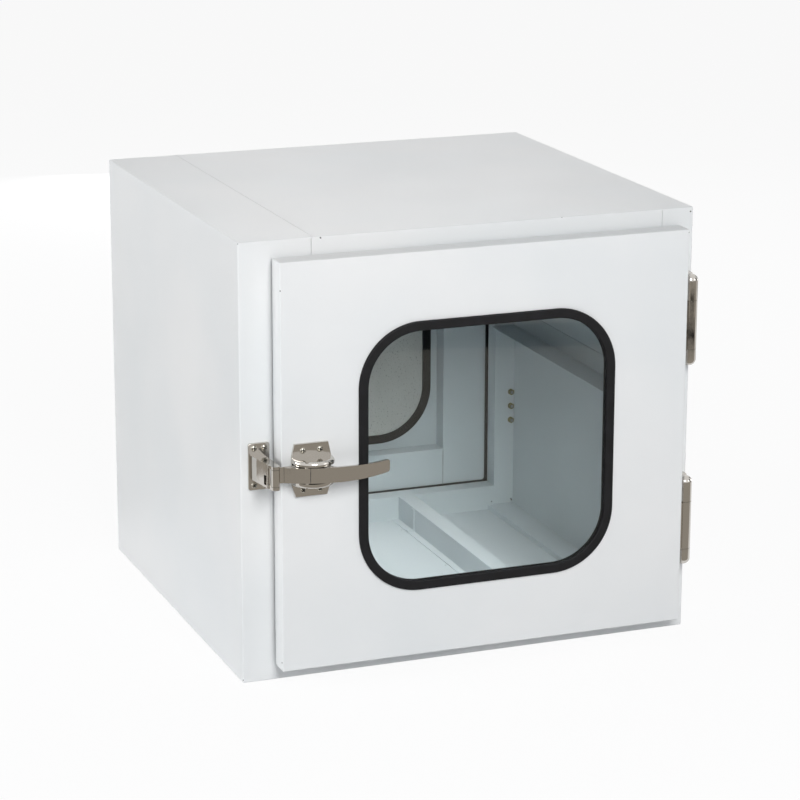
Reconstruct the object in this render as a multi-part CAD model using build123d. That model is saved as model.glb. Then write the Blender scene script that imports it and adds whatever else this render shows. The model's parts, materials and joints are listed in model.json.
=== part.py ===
# Cleanroom pass box: a sheet-steel cabinet with a glazed door on its front and on its back,
# a chrome roller latch and two chrome hinges on each door, and a see-saw interlock under a
# floor cover that holds one door shut while the other stands open.
# Millimetres. X runs from the latch side to the hinge side, Y from front to back, Z up.
# The origin is the centre of the cabinet's footprint, on the face that it stands on.
# The back of the cabinet mirrors the front about the plane Y = 0.

import math
import os

from build123d import *

os.makedirs("parts", exist_ok=True)

# ---- cabinet ----
CASE_W = 600.0          # outer width
CASE_D = 560.0          # outer depth, without doors
CASE_H = 555.0          # outer height
SKIN = 1.5              # outer sheet
CASE_EDGE_R = 2.0       # rounded folds of the cabinet
LINER = 1.2             # inner sheet of the walls and ceiling
WALL_T = 10.0           # double wall, outer face to the chamber's face
LATCH_MARGIN = 60.0     # cabinet edge to doorway, latch side
HINGE_MARGIN = 40.0     # cabinet edge to doorway, hinge side
SILL_H = 40.0           # cabinet foot to doorway
HEAD_H = 40.0           # doorway to cabinet top
FRAME_DEPTH = 26.0      # depth of the posts and rails round the doorway
FLOOR_TOP = 5.0         # upper face of the floor sheet
TOP_SEAM_X = 94.0       # latch-side wall folds this far over the top
HEAD_SEAM_LATCH = 92.0  # its fold on the strip above the door
HEAD_SEAM_HINGE = 43.0  # the hinge-side wall's fold on that strip
SEAM = 0.5              # open seam between two folds
TOUCH = 0.02            # pieces that butt stay this far apart
LEDGE_W = 39.0          # angle along each wall's foot
LEDGE_H = 7.0
LEDGE_NOTCH = 6.0       # clipped corners at the ledge's ends
SHELF_Z = 280.0         # top of the shelf angles
SHELF_W = 37.0
SHELF_H = 28.5

# ---- doors ----
DOOR_LAP = 19.0         # door over the cabinet's face, all round
DOOR_T = 28.0
DOOR_EDGE_R = 1.5
SEAL_T = 5.0            # gap between the cabinet's face and the closed door
SEAL_W = 12.0
SEAL_OVER_SIDE = 3.0    # the seal shows this far inside the doorway, at the sides
SEAL_OVER_END = 1.5     # and at the top and bottom
SEAL_EASE = 0.3         # the seal's face stays this far from the cabinet
SEAL_CORNER_R = 4.0
BORDER_SIDE = 87.0      # width of the door's inner channels, at the sides
BORDER_END = 74.0       # and at the top and bottom
FIT = 0.2               # play of the channels in the door's pan
WINDOW_SIDE = 99.0      # door's edge to the window's rubber, at the sides
WINDOW_END = 85.5       # and at the top and bottom
WINDOW_R = 80.0
GASKET_W = 12.0         # face width of the rubber
GASKET_PROUD = 3.5      # rubber in front of the door's sheet
GASKET_GRIP = 4.0       # rubber over the sheet's edge
GLASS_GRIP = 5.0        # rubber over the glass
GLASS_T = 5.0
GASKET_BACK = 3.0       # rubber behind the glass
GASKET_ROUND = 1.6
GROOVE_PLAY = 0.05      # rubber to sheet and glass

# ---- hinges ----
HINGE_SPREAD = 132.0    # each hinge's centre above or below the middle of the pair
HINGE_LIFT = 5.0        # that middle above the cabinet's mid-height
HINGE_H = 118.0
HINGE_TOP = 33.5        # fixed upper knuckle
HINGE_LEAF_H = 62.5        # knuckle that turns with the door
BARREL_R = 9.5
BARREL_GAP = 1.0        # door edge to the fixed knuckles
HINGE_STAND = 18.0      # pin's distance from the cabinet's face
KNUCKLE_GAP = 0.4
HINGE_PIN_R = 3.0
RUN = 0.05              # radial play of a pin in its hole
BASE_T = 3.5
BASE_W = 19.0
NECK_W = 12.0
DOME_SHARE = 0.85       # of the barrel's radius, for its rounded end
SLOPE_SHARE = 0.8       # of it, for the neck's slope beside that end
LEAF_T = 2.5
LEAF_W = 22.0
BOLT_R = 2.5
BOLT_HEAD_R = 4.2
BOLT_HEAD_H = 2.0
BOLT_X = 5.5            # bolts stand this far from the door's edge
BOLT_PITCH = 21.0
BOLT_LIFT = 8.5         # middle bolt above the hinge's centre
NUT_AF = 8.0            # across the nut's flats
NUT_H = 4.0

# ---- keeper ----
KEEPER_X = 23.0         # centre of the keeper from the cabinet's edge
KEEPER_W = 27.0
KEEPER_H = 59.0
KEEPER_T = 3.0
KEEPER_HOLE_X = 13.0    # screw spacing
KEEPER_HOLE_Z = 46.5
ROLLER_X = 26.0         # roller's centre from the cabinet's edge
ROLLER_STAND = 55.0     # and from the cabinet's face
ROLLER_R = 5.4
ROLLER_PIN_R = 2.0
CHEEK_T = 4.0
CHEEK_SPAN = 21.6       # clear height between the cheeks
ROLLER_END_GAP = 0.4
ARM_W = 17.0
ARM_REACH = 24.0        # solid web of the arm, from the cabinet's face
ARM_WALL = 3.0          # the arm's outer wall, past the web
ARM_WALL_X = 21.7       # its inner face, from the cabinet's edge
ARM_SLOT_Y = 37.0       # slot in that wall, from the cabinet's face
ARM_SLOT_W = 6.0
ARM_SLOT_H = 12.0

# ---- latch ----
LATCH_PIN_X = 65.0      # handle's pin from the cabinet's edge
LATCH_PIN_STAND = 25.0  # and from the door's face
LATCH_PIN_R = 3.0
LATCH_W = 50.0          # width of the latch's plate across its middle
LATCH_TOP_W = 43.0      # across its top
LATCH_FOOT_W = 40.0     # and across its foot
LATCH_H = 66.0
LATCH_WAIST = 17.0      # half the height over which the plate is widest
LATCH_PLATE_T = 4.0
LATCH_OFFSET = 13.0     # plate's centre from the pin, towards the hinges
LATCH_HOLE_X = 21.5
LATCH_HOLE_Z = 49.5
EAR_T = 6.0
EAR_R = 28.0            # half-round ears, about a point just off the door
EAR_STAND = 5.0
EAR_ROUND = 4.0
CAM_H = 20.0            # height of the handle's hub and nose
EAR_GAP = 0.5           # ear to hub
HUB_BACK = 13.0         # pin to the hub's back, towards the door
HUB_SIDE = 14.0         # and to its side, towards the hinges
STRAP_H = 19.0          # strap's height over the latch
STRAP_TIP_H = 15.5      # and at its tip
STRAP_T = 3.4
STRAP_R = 130.0         # bow of the strap
STRAP_STAND = 12.0      # top of the bow from the pin, away from the door
BOW_X = 44.0            # bow's centre from the pin, along the door
STRAP_ROOT_X = 70.0     # bow's centre to the strap's root
STRAP_WEB_X = 10.0      # to where the hub leaves the strap
STRAP_TIP_X = 64.0      # and, the other way, to the strap's tip
STRAP_TIP_R = 4.0
NOSE_GAP = 0.4          # nose to roller
NOSE_TIP_T = 1.6        # nose behind the roller's middle, where it ends
NOSE_SEAT_T = 3.4       # behind the roller's near side
NOSE_ROOT_T = 4.0       # and under the strap's end
NOSE_DIP = 1.6          # hollow in the nose beside the roller

# ---- screws ----
SCREW_R = 2.0
SCREW_HEAD_R = 3.6
SCREW_HEAD_H = 2.0
SCREW_SLOT = 0.9
SCREW_SLOT_DEPTH = 1.0
KEEPER_SCREW_L = 12.0
LATCH_SCREW_L = 12.0
LEAF_SCREW_L = 10.0
LEAF_SCREW_PITCH = 20.0
LEAF_SCREW_EDGE = 5.0   # from the door's back face

# ---- interlock ----
COVER_INSET = 137.0     # doorway's hinge side to the middle of the floor cover
COVER_W = 24.0
COVER_FOOT = 10.0
CLIP_W = 10.0
CLIP_Y = 196.0          # clips' distance from the middle
LEVER_W = 4.0
LEVER_H = 6.0
LEVER_Z = 31.0
HUB_R = 5.0
HUB_W = 7.0
LEVER_PIN_R = 2.5
HOOK_OUT = 11.0         # lever's reach past a closed door's back face
HOOK_L = 6.0
HOOK_H = 2.5
LEVER_TILT = 0.6        # degrees each way
SLOT_RISE = 0.3         # play over and under the tilted lever
SLOT_SIDE = 1.5         # play beside the lever
STRIKE_W = 30.0
STRIKE_H = 20.0
STRIKE_T = 2.0
CHEEK_X = 2.5           # thickness of the pivot bracket's cheeks
SPRING_WIRE = 0.8
SPRING_TURNS = 3
COIL_GAP = 0.04         # between the spring's turns

# ---- places that follow ----
HALF_W = CASE_W / 2
FACE_Y = -CASE_D / 2                        # cabinet's front face
MID_Z = CASE_H / 2
WALL_X = HALF_W - WALL_T                    # chamber's side faces
CEILING_Z = CASE_H - WALL_T
FRAME_Y = FACE_Y + FRAME_DEPTH              # chamber side of the front posts and rails
DOORWAY_X0 = -HALF_W + LATCH_MARGIN
DOORWAY_X1 = HALF_W - HINGE_MARGIN
DOORWAY_Z0 = SILL_H
DOORWAY_Z1 = CASE_H - HEAD_H
DOOR_X0 = DOORWAY_X0 - DOOR_LAP
DOOR_X1 = DOORWAY_X1 + DOOR_LAP
DOOR_Z0 = DOORWAY_Z0 - DOOR_LAP
DOOR_Z1 = DOORWAY_Z1 + DOOR_LAP
DOOR_BACK = FACE_Y - SEAL_T
DOOR_FACE = DOOR_BACK - DOOR_T
DOOR_MID_X = (DOOR_X0 + DOOR_X1) / 2
DOOR_MID_Z = (DOOR_Z0 + DOOR_Z1) / 2
WINDOW_W = DOOR_X1 - DOOR_X0 - 2 * WINDOW_SIDE
WINDOW_H = DOOR_Z1 - DOOR_Z0 - 2 * WINDOW_END
COVER_X = DOORWAY_X1 - COVER_INSET
LEVER_REACH = -DOOR_BACK + HOOK_OUT         # half the lever's length
SLOT_HALF = LEVER_H / 2 + LEVER_REACH * math.sin(math.radians(LEVER_TILT)) + SLOT_RISE
SLOT_Z0 = LEVER_Z - SLOT_HALF
SLOT_Z1 = LEVER_Z + SLOT_HALF
HINGE_X = DOOR_X1 + BARREL_GAP + BARREL_R
HINGE_Y = FACE_Y - HINGE_STAND
BOLT_CX = DOOR_X1 + BOLT_X
LATCH_X = -HALF_W + LATCH_PIN_X
LATCH_Y = DOOR_FACE - LATCH_PIN_STAND
ROLLER_CX = -HALF_W + ROLLER_X
ROLLER_CY = FACE_Y - ROLLER_STAND


# ---- small helpers ----
def block(x0, x1, y0, y1, z0, z1):
    """Box between two corners."""
    return Pos((x0 + x1) / 2, (y0 + y1) / 2, (z0 + z1) / 2) * Box(x1 - x0, y1 - y0, z1 - z0)


def rod(radius, start, end):
    """Round bar from one point to another."""
    line = Vector(*end) - Vector(*start)
    plane = Plane(origin=start, z_dir=line)
    return plane * Cylinder(radius, line.length, align=(Align.CENTER, Align.CENTER, Align.MIN))


def prism_z(points, z0, z1):
    """Upright prism on a closed outline of X, Y points."""
    return extrude(Pos(0, 0, z0) * make_face(Polyline(*points, close=True)), z1 - z0)


def rounded_slab(width, height, radius, x, z, y0, y1):
    """Slab with rounded corners, upright, its faces looking along Y."""
    plane = Plane(origin=(x, y0, z), x_dir=(1, 0, 0), z_dir=(0, -1, 0))
    return extrude(plane * RectangleRounded(width, height, radius), y0 - y1)


def behind(shape):
    """The same piece on the back of the cabinet."""
    return mirror(shape, about=Plane.XZ)


def group(pieces):
    """Separate solids that share one node."""
    return Compound(children=list(pieces))


def save(shape, node):
    """Write one node."""
    export_step(shape, f"parts/{node}.step")


# ---- cabinet: outer sheets ----
def outer_shell():
    """The cabinet's whole outer skin, with its two doorways."""
    outside = block(-HALF_W, HALF_W, FACE_Y, -FACE_Y, 0, CASE_H)
    outside = fillet(outside.edges(), CASE_EDGE_R)
    inside = block(-HALF_W + SKIN, HALF_W - SKIN, FACE_Y + SKIN, -FACE_Y - SKIN, SKIN, CASE_H - SKIN)
    doorways = block(DOORWAY_X0, DOORWAY_X1, -CASE_D, CASE_D, DOORWAY_Z0, DOORWAY_Z1)
    return outside - inside - doorways


def casing_panels():
    """The skin's four folded sheets, cut apart at their seams."""
    shell = outer_shell()
    far = CASE_W + CASE_D + CASE_H
    top_x = -HALF_W + TOP_SEAM_X
    head_x0 = -HALF_W + HEAD_SEAM_LATCH
    head_x1 = HALF_W - HEAD_SEAM_HINGE
    roof_z = CASE_H - SKIN
    latch_zone = block(-far, DOORWAY_X0, -far, far, SKIN, far)
    latch_zone += block(DOORWAY_X0, head_x0, -far, far, DOORWAY_Z1, roof_z)
    latch_zone += block(DOORWAY_X0, top_x, -far, far, roof_z, far)
    hinge_zone = block(DOORWAY_X1, far, -far, far, SKIN, roof_z)
    hinge_zone += block(head_x1, DOORWAY_X1, -far, far, DOORWAY_Z1, roof_z)
    roof_zone = block(head_x0 + SEAM, head_x1 - SEAM, -far, far, DOORWAY_Z1, roof_z)
    roof_zone += block(top_x + SEAM, far, -far, far, roof_z, far)
    foot_zone = block(-far, far, -far, far, -far, SKIN)
    foot_zone += block(DOORWAY_X0, DOORWAY_X1, -far, far, SKIN, DOORWAY_Z0)
    lever_slot = block(
        COVER_X - LEVER_W / 2 - SLOT_SIDE, COVER_X + LEVER_W / 2 + SLOT_SIDE, -far, far, SLOT_Z0, SLOT_Z1
    )
    latch_side = shell & latch_zone
    for x, z in keeper_screws():
        latch_side -= screw_hole(x, -far, far, z)
    hinge_side = (shell & hinge_zone) - bolt_holes(-far, far)
    return latch_side, shell & roof_zone, hinge_side, (shell & foot_zone) - lever_slot


# ---- cabinet: posts and rails round the doorway ----
def front_posts():
    """Two folded angles: a lip on the doorway's side and a face in the chamber."""
    y0 = FACE_Y + SKIN + TOUCH
    y1 = FRAME_Y
    z1 = CEILING_Z
    latch = block(DOORWAY_X0 - SKIN, DOORWAY_X0, y0, y1, FLOOR_TOP, z1)
    latch += block(-WALL_X, DOORWAY_X0, y1 - SKIN, y1, FLOOR_TOP, z1)
    hinge = block(DOORWAY_X1, DOORWAY_X1 + SKIN, y0, y1, FLOOR_TOP, z1)
    hinge += block(DOORWAY_X1, WALL_X, y1 - SKIN, y1, FLOOR_TOP, z1)
    return latch, hinge - bolt_holes(y0, y1 + SKIN)


def front_rails():
    """Sill and head, the same fold as the posts, laid between them."""
    y0 = FACE_Y + SKIN + TOUCH
    y1 = FRAME_Y
    x0 = DOORWAY_X0 + TOUCH
    x1 = DOORWAY_X1 - TOUCH
    sill = block(x0, x1, y0, y1, DOORWAY_Z0 - SKIN, DOORWAY_Z0)
    sill += block(x0, x1, y1 - SKIN, y1, FLOOR_TOP, DOORWAY_Z0)
    sill -= block(
        COVER_X - LEVER_W / 2 - SLOT_SIDE, COVER_X + LEVER_W / 2 + SLOT_SIDE, y0, y1, SLOT_Z0, SLOT_Z1
    )
    head = block(x0, x1, y0, y1, DOORWAY_Z1, DOORWAY_Z1 + SKIN)
    head += block(x0, x1, y1 - SKIN, y1, DOORWAY_Z1, CEILING_Z)
    return sill, head


# ---- cabinet: chamber lining ----
def wall_liner(side):
    """Flat inner sheet of one side wall."""
    near = WALL_X + TOUCH
    far = WALL_X + LINER
    depth = -FACE_Y - SKIN - TOUCH
    x0, x1 = sorted((side * near, side * far))
    return block(x0, x1, -depth, depth, SKIN, CASE_H - SKIN)


def ceiling_liner():
    """Flat sheet on top of the posts and heads."""
    depth = -FACE_Y - SKIN - TOUCH
    return block(-WALL_X, WALL_X, -depth, depth, CEILING_Z + TOUCH, CEILING_Z + LINER)


def floor_liner():
    """Raised floor sheet with its two ends folded down onto the cabinet's foot."""
    depth = -FRAME_Y - TOUCH
    sheet = block(-WALL_X, WALL_X, -depth, depth, FLOOR_TOP - SKIN, FLOOR_TOP)
    for x in (-WALL_X, WALL_X - SKIN):
        sheet += block(x, x + SKIN, -depth, depth, SKIN, FLOOR_TOP)
    return sheet


def floor_ledge(side):
    """Angle along one wall's foot, clipped at its ends where it meets the posts."""
    depth = -FRAME_Y - TOUCH
    inner = WALL_X - LEDGE_W
    z0 = FLOOR_TOP + TOUCH
    z1 = FLOOR_TOP + LEDGE_H
    ledge = block(inner, WALL_X, -depth, depth, z1 - SKIN, z1)
    ledge += block(inner, inner + SKIN, -depth, depth, z0, z1)
    clip = LEDGE_NOTCH
    for end in (-1, 1):
        for x, turn in ((WALL_X, -1), (inner + SKIN, 1)):
            corner = [(x, end * depth), (x + turn * clip, end * depth), (x, end * (depth - clip))]
            ledge -= prism_z(corner, z1 - 2 * SKIN, z1 + SKIN)
    return ledge if side > 0 else mirror(ledge, about=Plane.YZ)


def shelf_angle(side):
    """Angle on one wall that a loose shelf can lie on."""
    depth = -FRAME_Y - TOUCH
    angle = block(WALL_X - SHELF_W, WALL_X, -depth, depth, SHELF_Z - SKIN, SHELF_Z)
    angle += block(WALL_X - SKIN, WALL_X, -depth, depth, SHELF_Z, SHELF_Z + SHELF_H - SKIN)
    return angle if side > 0 else mirror(angle, about=Plane.YZ)


# ---- interlock ----
def interlock_cover():
    """Hat-shaped cover from sill to sill, with a foot along each side."""
    depth = -FRAME_Y - TOUCH
    z0 = FLOOR_TOP + TOUCH
    half = COVER_W / 2
    cover = block(COVER_X - half, COVER_X + half, -depth, depth, z0, DOORWAY_Z0)
    cover += block(COVER_X - half - COVER_FOOT, COVER_X + half + COVER_FOOT, -depth, depth, z0, z0 + SKIN)
    inside = block(
        COVER_X - half + SKIN, COVER_X + half - SKIN, 2 * FACE_Y, -2 * FACE_Y, 0, DOORWAY_Z0 - SKIN
    )
    return cover - inside


def cover_clips():
    """Two angle clips that hold the cover's side to its foot."""
    x1 = COVER_X - COVER_W / 2
    z0 = FLOOR_TOP + SKIN + 2 * TOUCH
    clips = []
    for y in (-CLIP_Y, CLIP_Y):
        clip = block(x1 - SKIN - TOUCH, x1 - TOUCH, y - CLIP_W / 2, y + CLIP_W / 2, z0, DOORWAY_Z0 - SKIN)
        clip += block(x1 - COVER_FOOT, x1 - TOUCH, y - CLIP_W / 2, y + CLIP_W / 2, z0, z0 + SKIN)
        clips.append(clip)
    return group(clips)


def interlock_lever():
    """Flat bar on a hub, with an upturned hook at each end."""
    reach = LEVER_REACH
    x0 = COVER_X - LEVER_W / 2
    x1 = COVER_X + LEVER_W / 2
    lever = block(x0, x1, -reach, reach, LEVER_Z - LEVER_H / 2, LEVER_Z + LEVER_H / 2)
    for end in (-1, 1):
        y0, y1 = sorted((end * reach, end * (reach - HOOK_L)))
        lever += block(x0, x1, y0, y1, LEVER_Z, LEVER_Z + LEVER_H / 2 + HOOK_H)
    lever += rod(HUB_R, (COVER_X - HUB_W / 2, 0, LEVER_Z), (COVER_X + HUB_W / 2, 0, LEVER_Z))
    return lever - rod(LEVER_PIN_R + RUN, (0, 0, LEVER_Z), (2 * COVER_X, 0, LEVER_Z))


def pivot_half_width():
    """Middle of the cover to the outside of the bracket's cheeks."""
    return COVER_W / 2 - SKIN - FIT


def pivot_bracket():
    """U bracket on the floor that carries the lever's pin."""
    half = pivot_half_width()
    z0 = FLOOR_TOP + TOUCH
    width = 2 * HUB_R
    top = LEVER_Z + HUB_R
    bracket = block(COVER_X - half, COVER_X + half, -width / 2, width / 2, z0, z0 + SKIN)
    for side in (-1, 1):
        x0, x1 = sorted((COVER_X + side * half, COVER_X + side * (half - CHEEK_X)))
        bracket += block(x0, x1, -width / 2, width / 2, z0, top)
    return bracket - rod(LEVER_PIN_R + RUN, (0, 0, LEVER_Z), (2 * COVER_X, 0, LEVER_Z))


def pivot_pin():
    """Plain pin through the bracket's cheeks and the lever's hub."""
    half = pivot_half_width()
    return rod(LEVER_PIN_R, (COVER_X - half, 0, LEVER_Z), (COVER_X + half, 0, LEVER_Z))


def centring_spring():
    """Torsion spring round the pin, between the hub and a cheek."""
    pitch = SPRING_WIRE + COIL_GAP
    radius = LEVER_PIN_R + SPRING_WIRE
    start = COVER_X + HUB_W / 2 + SPRING_WIRE
    helix = Helix(pitch, pitch * SPRING_TURNS, radius, center=(start, 0, LEVER_Z), direction=(1, 0, 0))
    section = Plane(origin=helix @ 0, z_dir=helix % 0) * Circle(SPRING_WIRE / 2)
    return sweep(section, path=helix)


def interlock_strike():
    """Slotted plate behind the bottom channel of the door, which the hook catches."""
    y0 = DOOR_BACK - SKIN - TOUCH
    z_mid = (SLOT_Z0 + SLOT_Z1) / 2
    z0 = max(z_mid - STRIKE_H / 2, DOOR_Z0 + SKIN + FIT)
    plate = block(COVER_X - STRIKE_W / 2, COVER_X + STRIKE_W / 2, y0 - STRIKE_T, y0, z0, z_mid + STRIKE_H / 2)
    return plate - strike_slot()


def strike_slot():
    """The hole that the lever's hook passes through."""
    half = LEVER_W / 2 + SLOT_SIDE
    return block(COVER_X - half, COVER_X + half, DOOR_FACE + SKIN, FACE_Y, SLOT_Z0, SLOT_Z1)


# ---- front door ----
def door_skin():
    """Folded pan with the window's hole."""
    pan = block(DOOR_X0, DOOR_X1, DOOR_FACE, DOOR_BACK, DOOR_Z0, DOOR_Z1)
    front_edges = pan.edges().filter_by(lambda e: e.center().Y < DOOR_BACK - TOUCH)
    pan = fillet(front_edges, DOOR_EDGE_R)
    pan -= block(
        DOOR_X0 + SKIN, DOOR_X1 - SKIN, DOOR_FACE + SKIN, DOOR_BACK + SKIN, DOOR_Z0 + SKIN, DOOR_Z1 - SKIN
    )
    pan -= window_slab(GASKET_GRIP, DOOR_FACE - SKIN, DOOR_FACE + 2 * SKIN)
    for x, z in latch_screws():
        pan -= screw_hole(x, DOOR_FACE - SKIN, DOOR_BACK, z)
    for hinge_z in hinge_centres():
        for _, y, z in leaf_screws(hinge_z):
            pan -= rod(SCREW_R + RUN, (DOOR_X1 - 2 * SKIN, y, z), (HINGE_X, y, z))
    return pan


def window_slab(inset, y0, y1):
    """Rounded slab of the window's outline, drawn in by an inset."""
    return rounded_slab(
        WINDOW_W - 2 * inset, WINDOW_H - 2 * inset, WINDOW_R - inset, DOOR_MID_X, DOOR_MID_Z, y0, y1
    )


def door_stiles():
    """The door's two upright inner channels."""
    z0 = DOOR_Z0 + SKIN + FIT
    z1 = DOOR_Z1 - SKIN - FIT
    y0 = DOOR_FACE + SKIN + TOUCH
    stiles = []
    for edge, turn in ((DOOR_X0, 1), (DOOR_X1, -1)):
        x_in = edge + turn * BORDER_SIDE
        a, b = sorted((edge + turn * (SKIN + FIT), x_in))
        stile = block(a, b, DOOR_BACK - SKIN, DOOR_BACK, z0, z1)
        a, b = sorted((x_in, x_in - turn * SKIN))
        stiles.append(stile + block(a, b, y0, DOOR_BACK, z0, z1))
    return stiles


def door_rails():
    """The two level channels between the stiles."""
    x0 = DOOR_X0 + BORDER_SIDE + TOUCH
    x1 = DOOR_X1 - BORDER_SIDE - TOUCH
    y0 = DOOR_FACE + SKIN + TOUCH
    rails = []
    for edge, turn in ((DOOR_Z0, 1), (DOOR_Z1, -1)):
        z_in = edge + turn * BORDER_END
        a, b = sorted((edge + turn * (SKIN + FIT), z_in))
        rail = block(x0, x1, DOOR_BACK - SKIN, DOOR_BACK, a, b)
        a, b = sorted((z_in, z_in - turn * SKIN))
        rails.append(rail + block(x0, x1, y0, DOOR_BACK, a, b))
    rails[0] = rails[0] - strike_slot()
    return rails


def window_gasket():
    """Rubber ring of H section, gripping the door's sheet outside and the glass inside."""
    front = DOOR_FACE - GASKET_PROUD
    back = DOOR_FACE + GLASS_T + GASKET_BACK
    ring = window_slab(0, front, back) - window_slab(GASKET_W, front - SKIN, back + SKIN)
    ring = fillet(ring.faces().sort_by(Axis.Y)[0].edges(), GASKET_ROUND)
    sheet_groove = window_slab(-SKIN, DOOR_FACE - GROOVE_PLAY, DOOR_FACE + SKIN + GROOVE_PLAY)
    sheet_groove -= window_slab(
        GASKET_GRIP + GROOVE_PLAY, DOOR_FACE - SKIN, DOOR_FACE + 2 * SKIN
    )
    glass_groove = window_slab(
        GASKET_W - GLASS_GRIP - GROOVE_PLAY, DOOR_FACE - GROOVE_PLAY, DOOR_FACE + GLASS_T + GROOVE_PLAY
    )
    return ring - sheet_groove - glass_groove


def window_glass():
    """Flat pane with the window's rounded corners."""
    return window_slab(GASKET_W - GLASS_GRIP, DOOR_FACE, DOOR_FACE + GLASS_T)


def door_seal():
    """Rubber strip stuck round the door's back, its inner lip just inside the doorway."""
    width = DOORWAY_X1 - DOORWAY_X0 - 2 * SEAL_OVER_SIDE
    height = DOORWAY_Z1 - DOORWAY_Z0 - 2 * SEAL_OVER_END
    x = (DOORWAY_X0 + DOORWAY_X1) / 2
    z = (DOORWAY_Z0 + DOORWAY_Z1) / 2
    y0 = DOOR_BACK + TOUCH
    y1 = FACE_Y - SEAL_EASE
    outer = rounded_slab(width + 2 * SEAL_W, height + 2 * SEAL_W, SEAL_CORNER_R, x, z, y0, y1)
    inner = rounded_slab(width, height, SEAL_CORNER_R, x, z, y0 - SEAL_T, y1 + SEAL_T)
    return outer - inner - strike_slot()


# ---- fasteners ----
def screw(length, x, y, z, out=(0, -1, 0)):
    """Pan-head screw with a cross slot; its head sits at the point and faces along out."""
    plane = Plane(origin=(x, y, z), z_dir=out)
    head = Cylinder(SCREW_HEAD_R, SCREW_HEAD_H, align=(Align.CENTER, Align.CENTER, Align.MIN))
    head = fillet(head.edges().sort_by(Axis.Z)[-1], SCREW_HEAD_H / 2)
    slot_z = SCREW_HEAD_H - SCREW_SLOT_DEPTH / 2
    for across in ((SCREW_HEAD_R, SCREW_SLOT), (SCREW_SLOT, SCREW_HEAD_R)):
        head -= Pos(0, 0, slot_z) * Box(*across, SCREW_SLOT_DEPTH)
    shank = Cylinder(SCREW_R, length, align=(Align.CENTER, Align.CENTER, Align.MAX))
    return plane * (head + shank)


def screw_hole(x, y0, y1, z):
    """Clearance hole for a screw's shank, along Y."""
    return rod(SCREW_R + RUN, (x, y0, z), (x, y1, z))


def hinge_bolt(z):
    """Bolt through the hinge's plate and the hollow post, its nut in the chamber."""
    head_y = FACE_Y - BASE_T - TOUCH
    tail_y = FRAME_Y + NUT_H + SKIN
    head = rod(BOLT_HEAD_R, (BOLT_CX, head_y, z), (BOLT_CX, head_y - BOLT_HEAD_H, z))
    return head + rod(BOLT_R, (BOLT_CX, head_y, z), (BOLT_CX, tail_y, z))


def bolt_holes(y0, y1):
    """Clearance holes for one side's hinge bolts, between two depths."""
    return [rod(BOLT_R + RUN, (BOLT_CX, y0, z), (BOLT_CX, y1, z)) for z in bolt_heights()]


def hinge_nut(z):
    """Hexagon nut on the bolt's end, in the chamber."""
    plane = Plane(origin=(BOLT_CX, FRAME_Y + TOUCH, z), x_dir=(0, 0, 1), z_dir=(0, 1, 0))
    nut = extrude(plane * RegularPolygon(NUT_AF / math.sqrt(3), 6), NUT_H)
    return nut - rod(BOLT_R + RUN, (BOLT_CX, FRAME_Y - SKIN, z), (BOLT_CX, FRAME_Y + 2 * NUT_H, z))


# ---- hinges ----
def hinge_centres():
    """Heights of the lower and the upper hinge."""
    middle = MID_Z + HINGE_LIFT
    return middle - HINGE_SPREAD, middle + HINGE_SPREAD


def bolt_heights():
    """Heights of the six bolts of one side's two hinges."""
    rows = (-1, 0, 1)
    return [z + BOLT_LIFT + row * BOLT_PITCH for z in hinge_centres() for row in rows]


def hinge_levels(z):
    """Bottom, both ends of the turning knuckle, and top of one hinge."""
    z0 = z - HINGE_H / 2
    z3 = z + HINGE_H / 2
    z2 = z3 - HINGE_TOP
    return z0, z2 - HINGE_LEAF_H, z2, z3


def fixed_knuckle(z0, z1, round_top):
    """Barrel with one domed end, and the neck that joins it to the plate."""
    barrel = rod(BARREL_R, (HINGE_X, HINGE_Y, z0), (HINGE_X, HINGE_Y, z1))
    ends = barrel.edges().filter_by(GeomType.CIRCLE).sort_by(Axis.Z)
    barrel = fillet(ends[-1] if round_top else ends[0], BARREL_R * DOME_SHARE)
    neck = block(HINGE_X - NECK_W / 2, HINGE_X + NECK_W / 2, HINGE_Y, FACE_Y - BASE_T / 2, z0, z1)
    slope = BARREL_R * SLOPE_SHARE
    trim = z1 if round_top else z0
    turn = -1 if round_top else 1
    corner = [(0, 0), (slope, 0), (0, slope)]
    wedge = extrude(
        Plane(origin=(HINGE_X - NECK_W, HINGE_Y, trim), x_dir=(0, 1, 0), z_dir=(1, 0, 0))
        * make_face(Polyline(*[(a, turn * b) for a, b in corner], close=True)),
        2 * NECK_W,
    )
    return barrel + (neck - wedge)


def hinge_base(z):
    """Plate on the cabinet's strip with an upper and a lower knuckle."""
    z0, z1, z2, z3 = hinge_levels(z)
    plate = block(
        HINGE_X - BASE_W / 2, HINGE_X + BASE_W / 2, FACE_Y - BASE_T, FACE_Y - TOUCH, z0, z3
    )
    plate = fillet(plate.edges().filter_by(Axis.Y), BASE_W / 4)
    base = plate + fixed_knuckle(z0, z1 - KNUCKLE_GAP, False) + fixed_knuckle(z2 + KNUCKLE_GAP, z3, True)
    base -= rod(HINGE_PIN_R + RUN, (HINGE_X, HINGE_Y, z0 + BASE_T), (HINGE_X, HINGE_Y, z3 - BARREL_R))
    for row in (-1, 0, 1):
        bolt_z = z + BOLT_LIFT + row * BOLT_PITCH
        base -= rod(BOLT_R + RUN, (BOLT_CX, FACE_Y, bolt_z), (BOLT_CX, HINGE_Y, bolt_z))
        base -= rod(
            BOLT_HEAD_R + RUN, (BOLT_CX, FACE_Y - BASE_T, bolt_z), (BOLT_CX, HINGE_Y, bolt_z)
        )
    return base


def hinge_pin(z):
    """Plain pin, captive between the two fixed knuckles' blind ends."""
    z0, _, _, z3 = hinge_levels(z)
    return rod(HINGE_PIN_R, (HINGE_X, HINGE_Y, z0 + BASE_T + RUN), (HINGE_X, HINGE_Y, z3 - BARREL_R - RUN))


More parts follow.
